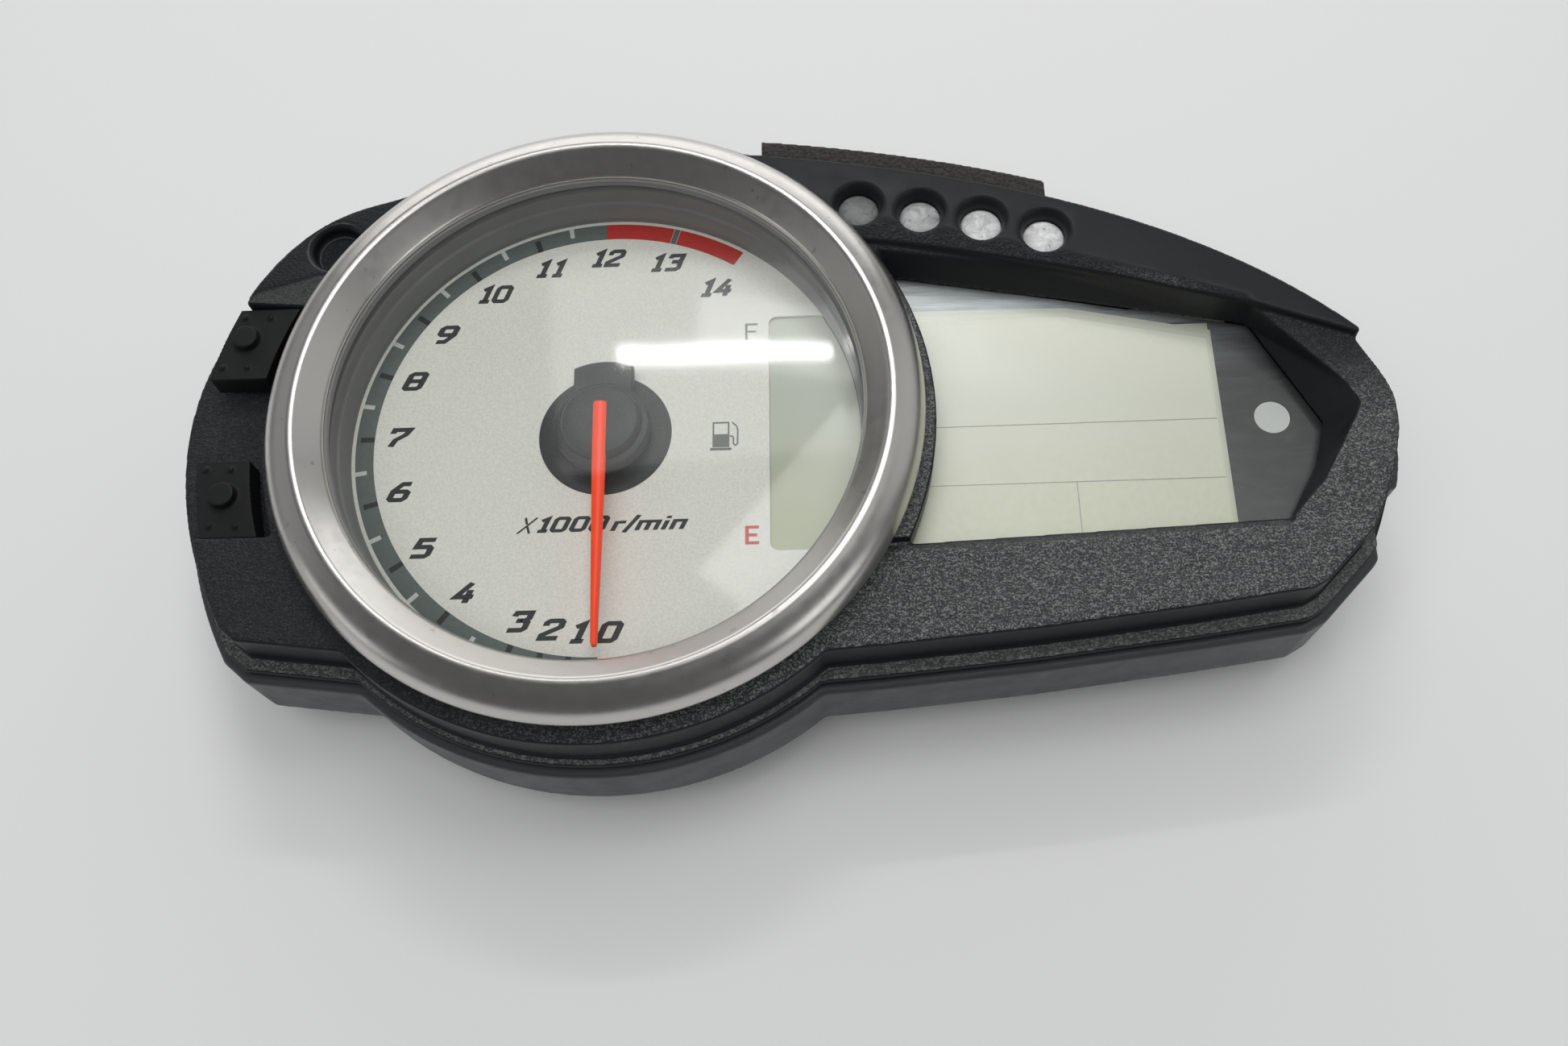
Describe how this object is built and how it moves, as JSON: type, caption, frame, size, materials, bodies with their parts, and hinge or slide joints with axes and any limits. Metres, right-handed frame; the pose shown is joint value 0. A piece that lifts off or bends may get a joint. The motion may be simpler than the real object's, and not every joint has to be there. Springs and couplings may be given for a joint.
{
  "type": "motorcycle instrument cluster",
  "caption": "Motorcycle instrument cluster with a round pointer gauge in a satin ring, a side display behind a clear window, indicator lights and push buttons.",
  "frame": {"origin": "on the pointer axis, at the plane of the case's back, which the cluster rests on", "axes": "+Z out of the dial towards the rider, +Y towards 12 o'clock, +X towards the side display"},
  "size_m": [0.2103, 0.1194, 0.0457],
  "materials": {
    "case_black": "satin moulded, fine spark texture",
    "cover_black": "leather-grain panels and smooth visor",
    "seal_rubber": "matte",
    "screw_steel": "zinc plated",
    "ring_satin": "satin nickel",
    "clear_lens": "clear polycarbonate",
    "bezel_grey": "satin grey",
    "dial_silver": "silver print with fine flake",
    "lcd_olive": "liquid crystal, unlit",
    "lcd_pale": "liquid crystal, unlit",
    "guide_white": "white acrylic",
    "mask_dark": "printed film",
    "frame_white": "moulded",
    "zebra_pink": "striped elastomer",
    "board_green": "solder mask",
    "chip_black": "moulded epoxy",
    "led_yellow": "LED package",
    "lens_frosted": "frosted light pipe",
    "motor_black": "moulded",
    "stator_steel": "laminated",
    "coil_copper": "enamelled copper wire",
    "magnet_dark": "bonded ferrite",
    "gear_white": "acetal",
    "needle_orange": "fluorescent",
    "cap_black": "satin",
    "button_black": "matte",
    "switch_black": "moulded",
    "plunger_white": "moulded",
    "connector_grey": "moulded",
    "pin_tin": "plated",
    "seal_red": "silicone",
    "insert_brass": "knurled",
    "isolator_rubber": "matte",
    "vent_grey": "moulded",
    "foam_grey": "open-cell foam"
  },
  "bodies": {
    "housing": {"rear_case": "case_black", "front_cover": "cover_black", "case_seal": "seal_rubber", "case_screws": "screw_steel", "trim_ring": "ring_satin", "dial_lens": "clear_lens", "lens_seal": "seal_rubber", "dial_bezel": "bezel_grey", "dial_plate": "dial_silver", "fuel_lcd": "lcd_olive", "dial_light_guide": "guide_white", "window_lens": "clear_lens", "window_mask": "mask_dark", "main_lcd": "lcd_pale", "lcd_backlight": "guide_white", "lcd_frame": "frame_white", "zebra_main": "zebra_pink", "zebra_fuel": "zebra_pink", "pcb": "board_green", "pcb_screws": "screw_steel", "circuit_chips": "chip_black", "backlight_leds": "led_yellow", "indicator_leds": "led_yellow", "light_tunnel": "frame_white", "indicator_lens_1": "lens_frosted", "indicator_lens_2": "lens_frosted", "indicator_lens_3": "lens_frosted", "indicator_lens_4": "lens_frosted", "warning_lens": "lens_frosted", "motor_case": "motor_black", "motor_cover": "motor_black", "motor_stator": "stator_steel", "coil_a": "coil_copper", "coil_b": "coil_copper", "button_seal_upper": "seal_rubber", "button_seal_lower": "seal_rubber", "switch_upper": "switch_black", "switch_lower": "switch_black", "connector_housing": "connector_grey", "connector_pins": "pin_tin", "connector_seal": "seal_red", "insert_left": "insert_brass", "insert_right": "insert_brass", "insert_top": "insert_brass", "isolator_left": "isolator_rubber", "isolator_right": "isolator_rubber", "isolator_top": "isolator_rubber", "breather_vent": "vent_grey", "foam_strip": "foam_grey"},
    "pointer": {"needle": "needle_orange", "needle_cap": "cap_black", "output_gear": "gear_white"},
    "idler": {"idler_gear": "gear_white"},
    "rotor": {"rotor_magnet": "magnet_dark", "rotor_pinion": "gear_white"},
    "upper_button": {"button_upper": "button_black", "plunger_upper": "plunger_white"},
    "lower_button": {"button_lower": "button_black", "plunger_lower": "plunger_white"}
  },
  "joints": [
    {"name": "needle_spin", "type": "hinge", "parent": "housing", "child": "pointer", "pos_m": [0, 0, 0.0305], "axis": [0, 0, 1], "range_deg": [-215, 0]},
    {"name": "idler_spin", "type": "hinge", "parent": "housing", "child": "idler", "pos_m": [-0.009, 0, 0.012], "axis": [0, 0, 1], "range_deg": [-2, 862]},
    {"name": "rotor_spin", "type": "hinge", "parent": "housing", "child": "rotor", "pos_m": [-0.009, -0.0072, 0.012], "axis": [0, 0, 1], "range_deg": [-2584, 2]},
    {"name": "button_upper_press", "type": "slide", "parent": "housing", "child": "upper_button", "axis": [0, 0, -1], "range_m": [0, 0.0008], "stiffness_N_per_m": 2500, "springref_m": -0.0002},
    {"name": "button_lower_press", "type": "slide", "parent": "housing", "child": "lower_button", "axis": [0, 0, -1], "range_m": [0, 0.0008], "stiffness_N_per_m": 2500, "springref_m": -0.0002}
  ],
  "couplings": [
    {"joint": "idler_spin", "follows": "needle_spin", "ratio": -4},
    {"joint": "rotor_spin", "follows": "needle_spin", "ratio": 12}
  ]
}
